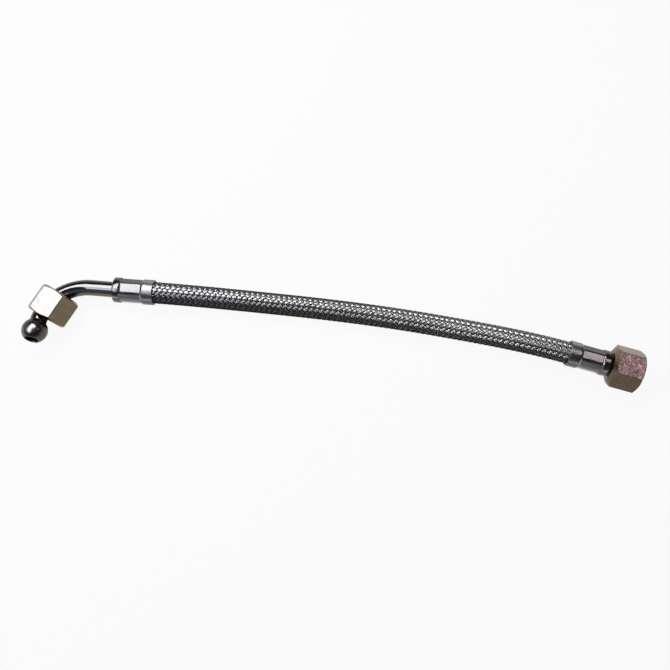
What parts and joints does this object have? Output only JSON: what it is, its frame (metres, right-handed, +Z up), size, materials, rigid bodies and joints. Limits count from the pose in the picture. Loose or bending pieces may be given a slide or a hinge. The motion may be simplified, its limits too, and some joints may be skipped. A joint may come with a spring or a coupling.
{
  "type": "braided supply line",
  "caption": "Short flexible water hose in a woven steel-wire sleeve, with a straight swivel nut on one end and a bent metal tube with a loose ball-nose union nut on the other.",
  "frame": {"origin": "on the straight nut's axis, at the outer end of its thread, 1 mm inside the mouth", "axes": "+X out of the straight nut's mouth; +Z up from the flat surface that the line lies on, which is 9.5 mm below the origin"},
  "size_m": [0.3021, 0.0795, 0.0205],
  "materials": {
    "straight_nut_plating": "satin nickel plate, lightly mottled",
    "elbow_nut_plating": "satin nickel plate",
    "washer_rubber": "matte moulded rubber",
    "nipple_metal": "turned, nickel plated",
    "ferrule_steel": "bright, pressed by crimping dies",
    "liner_rubber": "matte rubber",
    "braid_wire": "woven bright stainless wire",
    "tube_plating": "bright nickel plate"
  },
  "bodies": {
    "hose_line": {"sealing_washer": "washer_rubber", "straight_nipple": "nipple_metal", "straight_ferrule": "ferrule_steel", "liner": "liner_rubber", "braid": "braid_wire", "elbow_ferrule": "ferrule_steel", "elbow_hose_tail": "nipple_metal", "elbow_tube": "tube_plating", "ball_head": "tube_plating"},
    "straight_nut": {"straight_nut": "straight_nut_plating"},
    "elbow_nut": {"elbow_nut": "elbow_nut_plating"}
  },
  "joints": [
    {"name": "straight_nut_swivel", "type": "hinge", "parent": "hose_line", "child": "straight_nut", "pos_m": [-0.0065, 0, 0], "axis": [1, 0, 0], "continuous": true},
    {"name": "elbow_nut_swivel", "type": "hinge", "parent": "hose_line", "child": "elbow_nut", "pos_m": [-0.28727, -0.04162, 0], "axis": [-0.2639, -0.9646, 0], "continuous": true}
  ]
}
